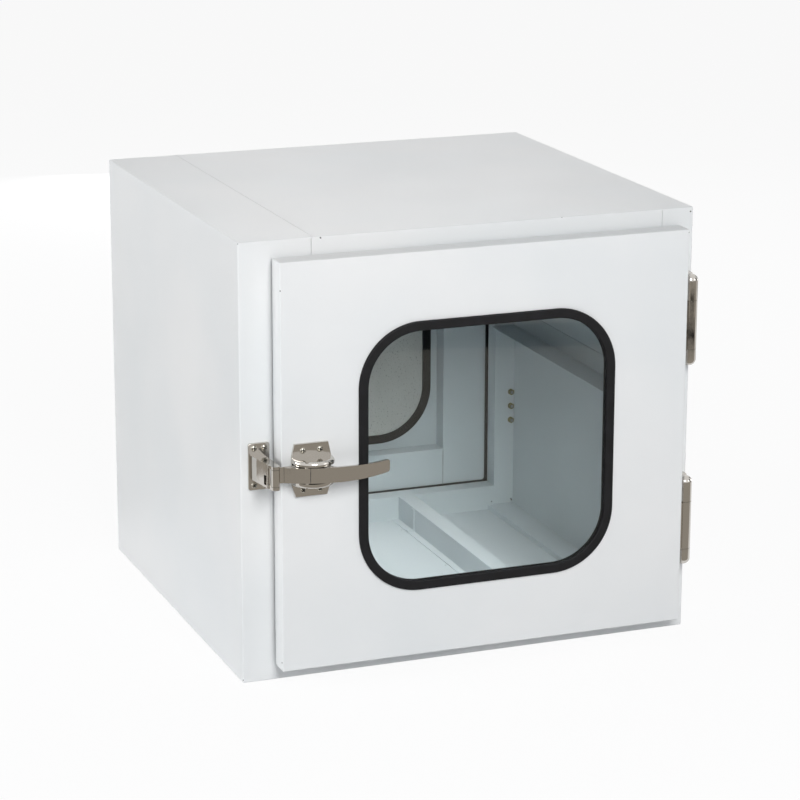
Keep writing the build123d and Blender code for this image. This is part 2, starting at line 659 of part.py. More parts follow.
def hinge_leaf(z):
    """Knuckle that turns with the door, and its plate on the door's edge."""
    _, z1, z2, _ = hinge_levels(z)
    y_mid = (DOOR_FACE + DOOR_BACK) / 2
    x0 = DOOR_X1 + TOUCH
    leaf = block(x0, x0 + LEAF_T, y_mid - LEAF_W / 2, y_mid + LEAF_W / 2, z1, z2)
    barrel = rod(BARREL_R, (HINGE_X, HINGE_Y, z1), (HINGE_X, HINGE_Y, z2))
    leaf += barrel
    leaf -= rod(HINGE_PIN_R + RUN, (HINGE_X, HINGE_Y, z1 - SKIN), (HINGE_X, HINGE_Y, z2 + SKIN))
    for x, y, hole_z in leaf_screws(z):
        leaf -= rod(SCREW_R + RUN, (x - SKIN, y, hole_z), (HINGE_X, y, hole_z))
        leaf -= rod(SCREW_HEAD_R + RUN, (x, y, hole_z), (HINGE_X, y, hole_z))
    return leaf


def leaf_screws(z):
    """Places of the screws through one leaf: in front of the barrel's tangent line."""
    _, z1, z2, _ = hinge_levels(z)
    mid = (z1 + z2) / 2
    x = DOOR_X1 + LEAF_T - SCREW_HEAD_H + TOUCH
    y = DOOR_BACK - LEAF_SCREW_EDGE
    return [(x, y, mid + row * LEAF_SCREW_PITCH) for row in (-1, 0, 1)]


def on_both_hinges(make):
    """One solid for each of a side's two hinges."""
    return [make(z) for z in hinge_centres()]


# ---- keeper ----
def keeper():
    """Plate on the cabinet's strip, with an arm that ends in two cheeks round the roller."""
    x = -HALF_W + KEEPER_X
    plate = block(
        x - KEEPER_W / 2, x + KEEPER_W / 2, FACE_Y - KEEPER_T, FACE_Y - TOUCH,
        MID_Z - KEEPER_H / 2, MID_Z + KEEPER_H / 2,
    )
    plate = fillet(plate.edges().filter_by(Axis.Y), KEEPER_T)
    plate = fillet(plate.faces().sort_by(Axis.Y)[0].edges(), KEEPER_T / 4)
    half = CHEEK_SPAN / 2
    root = [
        (x - ARM_W / 2 - ROLLER_R / 2, FACE_Y - KEEPER_T / 2),
        (x + ARM_W / 2 - ROLLER_R / 2, FACE_Y - KEEPER_T / 2),
        (ROLLER_CX + ROLLER_R, ROLLER_CY),
        (ROLLER_CX - ROLLER_R, ROLLER_CY),
    ]
    arm = prism_z(root, MID_Z - half - CHEEK_T, MID_Z + half + CHEEK_T)
    arm += rod(
        ROLLER_R, (ROLLER_CX, ROLLER_CY, MID_Z - half - CHEEK_T), (ROLLER_CX, ROLLER_CY, MID_Z + half + CHEEK_T)
    )
    wall_x = -HALF_W + ARM_WALL_X
    arm += block(
        wall_x - ARM_WALL, wall_x, ROLLER_CY + ROLLER_R, FACE_Y - ARM_REACH,
        MID_Z - half - CHEEK_T, MID_Z + half + CHEEK_T,
    )
    mouth_y = FACE_Y - ARM_REACH
    arm -= block(wall_x, 0, 2 * ROLLER_CY, mouth_y, MID_Z - half, MID_Z + half)
    arm -= block(
        -CASE_W, 0, 2 * ROLLER_CY, ROLLER_CY + ROLLER_R + 2 * NOSE_GAP, MID_Z - half, MID_Z + half
    )
    slot_y = FACE_Y - ARM_SLOT_Y
    arm -= block(-CASE_W, wall_x + TOUCH, slot_y - ARM_SLOT_W, slot_y, MID_Z - ARM_SLOT_H, MID_Z)
    arm -= rod(ROLLER_PIN_R + RUN, (ROLLER_CX, ROLLER_CY, 0), (ROLLER_CX, ROLLER_CY, CASE_H))
    body = plate + arm
    for screw_x, screw_z in keeper_screws():
        body -= screw_hole(screw_x, FACE_Y - 2 * KEEPER_T, FACE_Y, screw_z)
    return body


def keeper_screws():
    """Places of the keeper's four screws."""
    x = -HALF_W + KEEPER_X
    places = []
    for side in (-1, 1):
        for up in (-1, 1):
            places.append((x + side * KEEPER_HOLE_X / 2, MID_Z + up * KEEPER_HOLE_Z / 2))
    return places


def keeper_roller():
    """Roller between the keeper's cheeks."""
    half = CHEEK_SPAN / 2 - ROLLER_END_GAP
    roller = rod(ROLLER_R, (ROLLER_CX, ROLLER_CY, MID_Z - half), (ROLLER_CX, ROLLER_CY, MID_Z + half))
    return roller - rod(ROLLER_PIN_R + RUN, (ROLLER_CX, ROLLER_CY, 0), (ROLLER_CX, ROLLER_CY, CASE_H))


def roller_pin():
    """Pin through both cheeks."""
    half = CHEEK_SPAN / 2 + CHEEK_T
    return rod(ROLLER_PIN_R, (ROLLER_CX, ROLLER_CY, MID_Z - half), (ROLLER_CX, ROLLER_CY, MID_Z + half))


# ---- latch ----
def latch_outline():
    """The latch's back plate: widest across its middle, narrower at the top and the foot."""
    x = LATCH_X + LATCH_OFFSET
    rows = [
        (LATCH_TOP_W, MID_Z + LATCH_H / 2),
        (LATCH_W, MID_Z + LATCH_WAIST),
        (LATCH_W, MID_Z - LATCH_WAIST),
        (LATCH_FOOT_W, MID_Z - LATCH_H / 2),
    ]
    points = [(x + width / 2, z) for width, z in rows] + [(x - width / 2, z) for width, z in rows[::-1]]
    face = make_face(Polyline(*points, close=True))
    plane = Plane(origin=(0, DOOR_FACE - TOUCH, 0), x_dir=(1, 0, 0), z_dir=(0, -1, 0))
    return extrude(plane * face, LATCH_PLATE_T)


def latch_ear(up):
    """Half-round ear above or below the handle's hub, its outer edge rounded over."""
    x = LATCH_X + LATCH_OFFSET
    y = DOOR_FACE - EAR_STAND
    gap = CAM_H / 2 + EAR_GAP
    z0, z1 = sorted((MID_Z + up * gap, MID_Z + up * (gap + EAR_T)))
    ear = rod(EAR_R, (x, y, z0), (x, y, z1))
    outer_edge = ear.edges().filter_by(GeomType.CIRCLE).sort_by(Axis.Z)[-1 if up > 0 else 0]
    ear = fillet(outer_edge, EAR_ROUND)
    ear &= block(x - LATCH_W / 2, x + LATCH_W / 2, 2 * DOOR_FACE, DOOR_FACE - LATCH_PLATE_T / 2, z0, z1)
    return ear


def latch_base():
    """Cast base on the door: plate, two ears and the pin's hole."""
    base = latch_outline() + latch_ear(1) + latch_ear(-1)
    base -= rod(LATCH_PIN_R + RUN, (LATCH_X, LATCH_Y, 0), (LATCH_X, LATCH_Y, CASE_H))
    for x, z in latch_screws():
        base -= screw_hole(x, DOOR_FACE - 2 * LATCH_PLATE_T, DOOR_FACE, z)
    return base


def latch_screws():
    """Places of the latch's four screws."""
    x = LATCH_X + LATCH_OFFSET
    places = []
    for side in (-1, 1):
        for up in (-1, 1):
            places.append((x + side * LATCH_HOLE_X / 2, MID_Z + up * LATCH_HOLE_Z / 2))
    return places


def latch_pin():
    """Pin of the handle, through both ears."""
    half = CAM_H / 2 + EAR_GAP + EAR_T
    return rod(LATCH_PIN_R, (LATCH_X, LATCH_Y, MID_Z - half), (LATCH_X, LATCH_Y, MID_Z + half))


def bow_point(reach, depth):
    """Point of the strap's bow, at a depth under the outer face and a reach from its middle."""
    turn = math.asin(reach / STRAP_R)
    radius = STRAP_R - depth
    return (
        LATCH_X + BOW_X + radius * math.sin(turn),
        LATCH_Y - STRAP_STAND + STRAP_R - radius * math.cos(turn),
    )


def strap():
    """Bowed grip of the handle, lower towards its tip, with rounded corners there."""
    reaches = (-STRAP_ROOT_X, 0, STRAP_TIP_X)
    outer = ThreePointArc(*[bow_point(reach, 0) for reach in reaches])
    inner = ThreePointArc(*[bow_point(reach, STRAP_T) for reach in reaches[::-1]])
    outline = make_face([outer, Line(outer @ 1, inner @ 0), inner, Line(inner @ 1, outer @ 0)])
    bar = extrude(Pos(0, 0, MID_Z - STRAP_H / 2) * outline, STRAP_H)
    x1 = LATCH_X + BOW_X
    x0 = x1 - STRAP_ROOT_X
    x2 = x1 + STRAP_TIP_X
    upper = [(x0, STRAP_H / 2), (x1, STRAP_H / 2), (x2, STRAP_TIP_H / 2)]
    side = [(x, MID_Z + z) for x, z in upper] + [(x, MID_Z - z) for x, z in upper[::-1]]
    front = Plane(origin=(0, 0, 0), x_dir=(1, 0, 0), z_dir=(0, -1, 0))
    bar &= extrude(front * make_face(Polyline(*side, close=True)), -2 * LATCH_Y)
    tip = bar.edges().filter_by(lambda e: e.center().X > x2 - STRAP_TIP_R)
    corners = tip.filter_by(lambda e: abs(e.center().Z - MID_Z) > STRAP_TIP_R and e.length < 2 * STRAP_T)
    return fillet(corners, STRAP_TIP_R)


def cam():
    """Hub of the handle, and the nose that reaches behind the keeper's roller."""
    root_x, root_y = bow_point(-STRAP_ROOT_X, STRAP_T / 2)
    web_x, web_y = bow_point(-STRAP_WEB_X, STRAP_T / 2)
    face_y = ROLLER_CY + ROLLER_R + NOSE_GAP
    seat_x = ROLLER_CX + ROLLER_R
    points = [
        (web_x, web_y),
        (root_x, root_y),
        (root_x - NOSE_DIP, face_y + NOSE_DIP),
        (seat_x + NOSE_DIP, face_y + NOSE_DIP),
        (seat_x, face_y),
        (ROLLER_CX, face_y),
        (ROLLER_CX, face_y + NOSE_TIP_T),
        (seat_x, face_y + NOSE_SEAT_T),
        (root_x - NOSE_DIP, face_y + NOSE_ROOT_T),
        (LATCH_X - HUB_SIDE, LATCH_Y + HUB_BACK),
        (LATCH_X, LATCH_Y + HUB_BACK + STRAP_T),
        (LATCH_X + HUB_SIDE, LATCH_Y + HUB_BACK / 2),
    ]
    return prism_z(points, MID_Z - CAM_H / 2, MID_Z + CAM_H / 2)


def handle():
    """Handle: hub, nose and strap in one casting."""
    lever = cam() + strap()
    return lever - rod(LATCH_PIN_R + RUN, (LATCH_X, LATCH_Y, 0), (LATCH_X, LATCH_Y, CASE_H))


# ---- build ----
PANEL_NODES = ("latch_side_panel", "top_panel", "hinge_side_panel", "bottom_panel")
for panel, node in zip(casing_panels(), PANEL_NODES):
    save(panel, node)
for side, word in ((-1, "latch"), (1, "hinge")):
    save(wall_liner(side), f"{word}_wall_liner")
save(group(floor_ledge(side) for side in (-1, 1)), "floor_ledges")
save(group(shelf_angle(side) for side in (-1, 1)), "shelf_angles")
save(ceiling_liner(), "ceiling_liner")
save(floor_liner(), "floor_liner")
save(interlock_cover(), "interlock_cover")
save(cover_clips(), "interlock_cover_clips")
save(pivot_bracket(), "interlock_bracket")
save(pivot_pin(), "interlock_pin")
save(centring_spring(), "interlock_spring")
save(interlock_lever(), "interlock_lever")

one_side = {
    "posts": group(front_posts()),
    "rails": group(front_rails()),
    "keeper": keeper(),
    "keeper_roller": keeper_roller(),
    "door_skin": door_skin(),
    "door_stiles": group(door_stiles()),
    "door_rails": group(door_rails()),
    "door_seal": door_seal(),
    "window_gasket": window_gasket(),
    "window_glass": window_glass(),
    "interlock_strike": interlock_strike(),
    "hinge_leaves": group(on_both_hinges(hinge_leaf)),
    "latch_base": latch_base(),
    "latch_pin": latch_pin(),
    "latch_handle": handle(),
    "latch_screws": group(
        screw(LATCH_SCREW_L, x, DOOR_FACE - LATCH_PLATE_T - TOUCH, z) for x, z in latch_screws()
    ),
    "leaf_screws": group(
        screw(LEAF_SCREW_L, *place, out=(1, 0, 0)) for z in hinge_centres() for place in leaf_screws(z)
    ),
}
for name, piece in one_side.items():
    save(piece, f"front_{name}")
    save(behind(piece), f"rear_{name}")

for place, z in zip(("lower", "upper"), hinge_centres()):
    save(hinge_base(z), f"front_{place}_hinge_base")
    save(behind(hinge_base(z)), f"rear_{place}_hinge_base")

both_sides = {
    "hinge_pins": on_both_hinges(hinge_pin),
    "hinge_bolts": [hinge_bolt(z) for z in bolt_heights()],
    "hinge_nuts": [hinge_nut(z) for z in bolt_heights()],
    "roller_pins": [roller_pin()],
    "keeper_screws": [screw(KEEPER_SCREW_L, x, FACE_Y - KEEPER_T - TOUCH, z) for x, z in keeper_screws()],
}
for name, pieces in both_sides.items():
    save(group(pieces + [behind(piece) for piece in pieces]), name)
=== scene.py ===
import json
import math
import random

import bmesh
import bpy
from mathutils import Matrix, Vector
from mathutils.bvhtree import BVHTree

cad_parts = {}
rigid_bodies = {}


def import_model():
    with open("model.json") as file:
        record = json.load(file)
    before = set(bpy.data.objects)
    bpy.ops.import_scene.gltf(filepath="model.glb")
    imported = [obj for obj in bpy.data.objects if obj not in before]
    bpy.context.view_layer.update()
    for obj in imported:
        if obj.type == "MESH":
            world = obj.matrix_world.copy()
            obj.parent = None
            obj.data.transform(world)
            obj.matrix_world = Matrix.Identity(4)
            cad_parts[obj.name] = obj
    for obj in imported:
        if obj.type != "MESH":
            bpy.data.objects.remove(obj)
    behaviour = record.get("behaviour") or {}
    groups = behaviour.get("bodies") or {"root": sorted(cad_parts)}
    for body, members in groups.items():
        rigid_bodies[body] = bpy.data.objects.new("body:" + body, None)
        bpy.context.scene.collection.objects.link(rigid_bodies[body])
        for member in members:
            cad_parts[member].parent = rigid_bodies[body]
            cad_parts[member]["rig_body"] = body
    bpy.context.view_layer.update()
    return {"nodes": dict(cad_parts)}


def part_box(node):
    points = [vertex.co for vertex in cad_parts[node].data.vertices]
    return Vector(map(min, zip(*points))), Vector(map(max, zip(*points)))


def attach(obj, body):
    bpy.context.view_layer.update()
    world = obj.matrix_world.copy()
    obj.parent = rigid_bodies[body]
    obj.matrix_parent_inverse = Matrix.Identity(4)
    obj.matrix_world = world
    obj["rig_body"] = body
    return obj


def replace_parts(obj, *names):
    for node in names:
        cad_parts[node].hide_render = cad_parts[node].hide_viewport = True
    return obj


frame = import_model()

# ---- Studio ----
# A white room with soft, plain light from above and in front. The white of the floor and
# the room is what the lens, the metal and the glass see; the floor still takes a shadow.


def colour(code):
    """sRGB hex colour as linear red, green, blue and alpha."""
    parts = [int(code[i:i + 2], 16) / 255 for i in (1, 3, 5)]
    return [c / 12.92 if c <= 0.04045 else ((c + 0.055) / 1.055) ** 2.4 for c in parts] + [1.0]


def add(tree, kind, inputs=None, **settings):
    """Adds a node. Settings are its own choices; an input is a value or the socket to link."""
    node = tree.nodes.new(kind)
    for name, value in settings.items():
        setattr(node, name, value)
    for key, value in (inputs or {}).items():
        if isinstance(value, bpy.types.NodeSocket):
            tree.links.new(value, node.inputs[key])
        else:
            node.inputs[key].default_value = value
    return node


def new_material(name):
    """An empty node material and its tree."""
    made = bpy.data.materials.new(name)
    made.use_nodes = True
    made.node_tree.nodes.clear()
    return made, made.node_tree


def seen_directly(tree):
    """1 for rays from the lens, off a mirror or through glass; 0 for soft light."""
    path = add(tree, "ShaderNodeLightPath")
    direct = add(tree, "ShaderNodeMath", {0: path.outputs["Is Camera Ray"],
                                          1: path.outputs["Is Glossy Ray"]}, operation="MAXIMUM")
    return add(tree, "ShaderNodeMath", {0: direct.outputs[0],
                                        1: path.outputs["Is Transmission Ray"]},
               operation="MAXIMUM").outputs[0]


room = bpy.data.worlds.new("white_room")
bpy.context.scene.world = room
room.use_nodes = True
room.node_tree.nodes.clear()
soft = add(room.node_tree, "ShaderNodeBackground", {"Color": colour("#f3f4f7"), "Strength": 0.15})
white = add(room.node_tree, "ShaderNodeBackground", {"Color": colour("#ffffff"), "Strength": 1.0})
both = add(room.node_tree, "ShaderNodeMixShader", {0: seen_directly(room.node_tree),
                                                   1: soft.outputs[0], 2: white.outputs[0]})
add(room.node_tree, "ShaderNodeOutputWorld", {"Surface": both.outputs[0]})

floor_mesh = bpy.data.meshes.new("studio_floor")
floor_mesh.from_pydata([(-20, -20, 0), (20, -20, 0), (20, 20, 0), (-20, 20, 0)], [], [(0, 1, 2, 3)])
studio_floor = bpy.data.objects.new("studio_floor", floor_mesh)
studio_floor.location.z = -0.0005
bpy.context.collection.objects.link(studio_floor)
floor_paint, tree = new_material("white_studio_floor")
matt = add(tree, "ShaderNodeBsdfDiffuse", {"Color": colour("#f2f3f5")})
glow = add(tree, "ShaderNodeEmission", {"Color": colour("#ffffff"), "Strength": 1.0})
share = add(tree, "ShaderNodeMath", {0: seen_directly(tree), 1: 0.93}, operation="MULTIPLY")
both = add(tree, "ShaderNodeMixShader", {0: share.outputs[0], 1: matt.outputs[0],
                                         2: glow.outputs[0]})
add(tree, "ShaderNodeOutputMaterial", {"Surface": both.outputs[0]})
floor_mesh.materials.append(floor_paint)


def lamp(name, size, watts, place, aim):
    """Square white soft box at a place, turned to face a point."""
    light = bpy.data.lights.new(name, "AREA")
    light.size = size
    light.energy = watts
    made = bpy.data.objects.new(name, light)
    made.location = place
    made.rotation_euler = (Vector(aim) - Vector(place)).to_track_quat("-Z", "Y").to_euler()
    bpy.context.collection.objects.link(made)
    return made


lamp("key_soft_box", 1.0, 42, (-0.35, -2.5, 1.65), (-0.05, -0.2, 0.15))
lamp("right_soft_box", 0.8, 4, (1.9, -2.0, 1.1), (0, -0.2, 0.25))
lamp("left_soft_box", 1.6, 52, (-3.2, 0.3, 1.3), (-0.2, 0, 0.3))
lamp("rear_soft_box", 1.3, 16, (0.9, 2.4, 2.0), (0, 0.2, 0.25))
lamp("rear_low_soft_box", 0.6, 11, (0.6, 2.9, 0.32), (0, 0.3, 0.28))
lamp("hinge_side_low_soft_box", 0.6, 20, (3.1, 0.7, 0.32), (0.3, 0, 0.28))
# A weak lamp under the chamber's ceiling stands for light that white walls throw on to its floor.
chamber_bounce = lamp("chamber_bounce", 0.42, 0.4, (-0.05, 0.05, 0.5), (-0.05, 0.05, 0))
chamber_bounce.data.spread = math.radians(42)
chamber_bounce.visible_camera = False
chamber_bounce.visible_glossy = False


def card(name, code, corners):
    """Glowing card or cloth that only metal and glass see: a painted reflection, in place of the
    unlit half of a studio.
    """
    mesh = bpy.data.meshes.new(name)
    mesh.from_pydata(corners, [], [tuple(range(len(corners)))])
    made = bpy.data.objects.new(name, mesh)
    bpy.context.collection.objects.link(made)
    made.visible_camera = False
    made.visible_diffuse = False
    made.visible_shadow = False
    paint, tree = new_material(name + "_felt")
    reflected_glow = add(tree, "ShaderNodeEmission", {"Color": colour(code), "Strength": 1.0})
    add(tree, "ShaderNodeOutputMaterial", {"Surface": reflected_glow.outputs[0]})
    mesh.materials.append(paint)


# One card lies before each door, and one stands to the hinge side of it, so flat bright metal
# reads warm grey, round metal gets dark streaks, and the panes aren't veiled by the white floor.
CARD_UP = 0.004    # the low card lies just off the floor
for side, y in (("front", -1), ("rear", 1)):
    card(f"{side}_low_card", "#aba59c", [(-3.0, 0.4 * y, CARD_UP), (3.0, 0.4 * y, CARD_UP),
                                         (3.0, 3.4 * y, CARD_UP), (-3.0, 3.4 * y, CARD_UP)])
    card(f"{side}_tall_card", "#26262a", [(2.2, 1.1 * y, 0.05), (2.6, 0.5 * y, 0.05),
                                          (2.6, 0.5 * y, 1.6), (2.2, 1.1 * y, 1.6)])

# Two black cloths lie bent round each pair of hinges, so that their knuckles get dark patches.
CLOTH_UP = 0.006   # each cloth lies on the low card
HINGE_X, HINGE_Y = 0.289, 0.308
BEND_STEPS = 12
for side, y in (("front", -1), ("rear", 1)):
    for word, code, near, far, first, last in (("near", "#1c1c1f", 1.48, 1.65, 20, 165),
                                               ("far", "#2a2925", 1.74, 1.88, 45, 110)):
        bend = [math.radians(first + (last - first) * step / BEND_STEPS)
                for step in range(BEND_STEPS + 1)]
        card(f"{side}_{word}_cloth", code,
             [(HINGE_X + reach * math.cos(turn), y * (HINGE_Y + reach * math.sin(turn)), CLOTH_UP)
              for reach, turns in ((near, bend), (far, reversed(bend))) for turn in turns])

# The lens stands to the left of the latch side and a little above the cabinet.
camera = bpy.data.objects.new("camera", bpy.data.cameras.new("camera"))
camera.data.sensor_width = 36.0
camera.data.lens = 131.2
camera.matrix_world = (
    Matrix.Translation((-1.3377, -3.4884, 1.2947))
    @ Matrix.Rotation(math.radians(-21.194), 4, "Z")
    @ Matrix.Rotation(math.radians(90 - 15.474), 4, "X")
    @ Matrix.Rotation(math.radians(0.139), 4, "Z")
)
bpy.context.collection.objects.link(camera)
bpy.context.scene.camera = camera
bpy.context.scene.view_settings.view_transform = "Standard"

# ---- Outer sheets and door pans ----
# 1.5 mm mild steel, folded, spot-welded and powder coated white. The coat is half matt, with a
# faint orange peel and slightly uneven tone, and it has chipped to dull steel at corners.


def dress(finish, *names):
    """Gives CAD nodes one material."""
    for name in names:
        data = frame["nodes"][name].data
        data.materials.clear()
        data.materials.append(finish)


def tones(tree, where, scale, low, high, dark, light):
    """Soft mottling between two colours. The scale is in patches per metre."""
    noise = add(tree, "ShaderNodeTexNoise", {"Vector": where, "Scale": scale, "Detail": 3.0})
    return add(tree, "ShaderNodeMix", {
        "Factor": add(tree, "ShaderNodeMapRange", {"Value": noise.outputs[0], "From Min": low,
                                                   "From Max": high}).outputs[0],
        "A": colour(dark), "B": colour(light)}, data_type="RGBA").outputs["Result"]


def spots(tree, where, places, radius, rag):
    """1 within a ragged spot round each place, 0 elsewhere."""
    noise = add(tree, "ShaderNodeTexNoise", {"Vector": where, "Scale": 420.0, "Detail": 3.0})
    ragged = add(tree, "ShaderNodeMath", {0: noise.outputs[0], 1: rag},
                 operation="MULTIPLY").outputs[0]
    total = None
    for place in places:
        away = add(tree, "ShaderNodeVectorMath", {0: where, 1: place}, operation="DISTANCE")
        reach = add(tree, "ShaderNodeMath", {0: away.outputs["Value"], 1: ragged}, operation="ADD")
        inside = add(tree, "ShaderNodeMath", {0: reach.outputs[0], 1: radius + rag / 2},
                     operation="LESS_THAN").outputs[0]
        if total is None:
            total = inside
        else:
            total = add(tree, "ShaderNodeMath", {0: total, 1: inside},
                        operation="MAXIMUM").outputs[0]
    return total


CHIP_R, CHIP_RAG = 0.0011, 0.0016   # a chip is about 2 mm across, with a ragged edge


def powder_coat(name, dark, light, roughness=0.48, chips=()):
    """Polyester powder coat on sheet steel, chipped to the dull steel at some places."""
    made, tree = new_material(name)
    where = add(tree, "ShaderNodeTexCoord").outputs["Object"]
    paint = tones(tree, where, 3.5, 0.35, 0.65, dark, light)
    if chips:
        paint = add(tree, "ShaderNodeMix", {"Factor": spots(tree, where, chips, CHIP_R, CHIP_RAG),
                                            "A": paint, "B": colour("#4a4a48")},
                    data_type="RGBA").outputs["Result"]
    # orange peel of a smooth powder coat is about 2 mm from crest to crest
    peel = add(tree, "ShaderNodeTexNoise", {"Vector": where, "Scale": 480.0, "Detail": 2.0})
    rub = add(tree, "ShaderNodeTexNoise", {"Vector": where, "Scale": 14.0, "Detail": 4.0})
    rough = add(tree, "ShaderNodeMapRange", {
        "Value": rub.outputs[0], "From Min": 0.3, "From Max": 0.7,
        "To Min": roughness - 0.02, "To Max": roughness + 0.03})
    bump = add(tree, "ShaderNodeBump", {"Height": peel.outputs[0], "Strength": 0.18,
                                        "Distance": 0.0002})
    shader = add(tree, "ShaderNodeBsdfPrincipled", {
        "Base Color": paint, "Roughness": rough.outputs[0], "IOR": 1.5, "Normal": bump.outputs[0]})
    add(tree, "ShaderNodeOutputMaterial", {"Surface": shader.outputs[0]})
    return made


def eased(finish, node, width, shortest, name, inside=None, inner_finish=None):
    """Copy of a CAD node with its outer edges rounded over. It stands for the node. Faces that
    look the way of inside take the inner finish."""
    solid = frame["nodes"][node]
    mesh = solid.data.copy()
    mesh.name = name
    if "custom_normal" in mesh.attributes:
        mesh.attributes.remove(mesh.attributes["custom_normal"])
    shape = bmesh.new()
    shape.from_mesh(mesh)
    bmesh.ops.remove_doubles(shape, verts=shape.verts, dist=0.00001)
    bmesh.ops.dissolve_limit(shape, angle_limit=math.radians(0.4), verts=shape.verts,
                             edges=shape.edges)
    sharp = [edge for edge in shape.edges
             if edge.is_manifold and edge.is_convex and edge.calc_length() > shortest
             and edge.calc_face_angle() > math.radians(35)]
    bmesh.ops.bevel(shape, geom=sharp, offset=width, segments=2, profile=0.5, affect="EDGES",
                    clamp_overlap=True)
    shape.to_mesh(mesh)
    shape.free()
    mesh.shade_smooth()
    mesh.set_sharp_from_angle(angle=math.radians(32))
    mesh.materials.clear()
    mesh.materials.append(finish)
    if inside:
        mesh.materials.append(inner_finish)
        for face in mesh.polygons:
            face.material_index = 1 if face.normal.dot(Vector(inside)) > 0.9 else 0
    made = bpy.data.objects.new(mesh.name, mesh)
    bpy.context.collection.objects.link(made)
    even = made.modifiers.new("flats_stay_flat", "WEIGHTED_NORMAL")
    even.keep_sharp = True
    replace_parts(made, node)
    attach(made, solid["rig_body"])


FOLD = 0.0011       # outer radius of a fold in 1.5 mm sheet, as it shows under the paint
FOLD_MIN = 0.03     # shorter edges, such as those of holes and slots, stay sharp
door_low, door_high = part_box("front_door_skin")
skin_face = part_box("latch_side_panel")[0].y
# corners and edges of the doors' front pan and of the casing that knocks have chipped
worn = [
    (door_low.x, door_low.y, door_high.z), (door_low.x, door_low.y, door_low.z),
    (door_high.x, door_low.y, door_low.z), (door_high.x, door_low.y, door_high.z - 0.004),
    (door_low.x, door_low.y + 0.004, door_low.z + 0.011),
    (door_low.x, door_low.y, door_high.z - 0.034),
    (-0.3, skin_face, 0.5535), (-0.3, skin_face, 0.004), (-0.3, 0.28, 0.555),
    (0.12, skin_face, 0.555),
    (0.296, skin_face, 0.549), (-0.196, skin_face, 0.553), (0.3, skin_face, 0.531),
]
white_coat = powder_coat("white_powder_coat", "#e6e9ea", "#edeeee", chips=worn)
for panel in ("latch_side_panel", "top_panel", "hinge_side_panel", "bottom_panel"):
    eased(white_coat, panel, FOLD, FOLD_MIN, panel + "_folded")

# ---- Chamber lining, posts, rails, ledges and covers ----
# 1.2 and 1.5 mm mild steel, folded and spot-welded, in a cooler and flatter powder coat. Its soft
# grey, darker than the outer white, is partly painted shade of the chamber. The doors' skins wear
# it on their inner side, where it is painted shade of the recess round each window.

# Bare places: three at the weld holes of the far post's foot, three spot welds beside the cover.
bare = [(0.288, 0.254, 0.0155), (0.2872, 0.254, 0.0172), (0.2564, 0.254, 0.0164),
        (0.0975, 0.207, 0.005), (0.0975, 0.04, 0.005), (0.0975, -0.12, 0.005)]
grey_coat_with_painted_shade = powder_coat("cool_grey_coat_with_painted_shade", "#ccd2d6", "#d4dade", 0.46, chips=bare)
# the grey on the doors' inner side is painted shade, darkening the recess between frame and window
for panel, inward in (("front_door_skin", (0.0, 1.0, 0.0)), ("rear_door_skin", (0.0, -1.0, 0.0))):
    eased(white_coat, panel, FOLD, FOLD_MIN, panel + "_folded", inward, grey_coat_with_painted_shade)
dress(grey_coat_with_painted_shade, "latch_wall_liner", "hinge_wall_liner", "ceiling_liner", "floor_liner",
      "floor_ledges", "shelf_angles", "interlock_cover", "interlock_cover_clips", "front_posts",
      "front_rails", "rear_posts", "rear_rails", "front_door_stiles", "front_door_rails",
      "rear_door_stiles", "rear_door_rails")

# ---- Window rubbers and door seals ----
# Extruded EPDM, black and matt with a slight bloom. The window rubbers are pushed over the
# sheet's edge and grip the glass; the door seals run round the inner side of each door.


def epdm(name):
    """Extruded EPDM rubber."""
    made, tree = new_material(name)
    where = add(tree, "ShaderNodeTexCoord").outputs["Object"]
    # the real grain is finer than the 0.7 mm that it is drawn at, so that it shows
    grain = add(tree, "ShaderNodeTexNoise", {"Vector": where, "Scale": 1400.0, "Detail": 3.0})
    bump = add(tree, "ShaderNodeBump", {"Height": grain.outputs[0], "Strength": 0.3,
                                        "Distance": 0.0002})
    shader = add(tree, "ShaderNodeBsdfPrincipled", {
        "Base Color": tones(tree, where, 60.0, 0.3, 0.7, "#0c0c0e", "#17171a"),
        "Roughness": 0.6, "Specular IOR Level": 0.25, "Normal": bump.outputs[0]})
    add(tree, "ShaderNodeOutputMaterial", {"Surface": shader.outputs[0]})
    return made


rubber = epdm("black_epdm_rubber")
dress(rubber, "front_window_gasket", "rear_window_gasket", "front_door_seal", "rear_door_seal")

# ---- Window panes ----
# 5 mm float glass, cut and edged, gripped by the rubbers. It is clear and mirror smooth, with a
# faint green that only its thickness gives. The rear pane still carries its protective film.


def float_glass(name, tint):
    """Float glass that lets lamps through."""
    made, tree = new_material(name)
    glass = add(tree, "ShaderNodeBsdfPrincipled", {
        "Base Color": colour(tint), "Roughness": 0.0, "IOR": 1.5, "Transmission Weight": 1.0})
    # both faces of a pane turn back 8 % of the light that comes through it
    through = add(tree, "ShaderNodeBsdfTransparent", {"Color": colour("#eaefed")})
    lamps = add(tree, "ShaderNodeLightPath").outputs["Is Shadow Ray"]
    both = add(tree, "ShaderNodeMixShader", {0: lamps, 1: glass.outputs[0], 2: through.outputs[0]})
    add(tree, "ShaderNodeOutputMaterial", {"Surface": both.outputs[0]})
    return made


dress(float_glass("clear_float_glass", "#f3f7f6"), "front_window_glass", "rear_window_glass")

# Protective film of the rear pane: 80 micron polythene, still on the chamber side. It is warm
# grey and smoky, with dust and small blisters under it, and lets little light through.
FILM_EDGE = 0.004                       # kept back from the pane's edge, under the rubber's lip
FILM_BACK, FILM_FRONT = 0.00002, 0.0001  # its two sides, measured from the pane
FILM_CORNER, CORNER_STEPS = 0.07, 10
pane_low, pane_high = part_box("rear_window_glass")


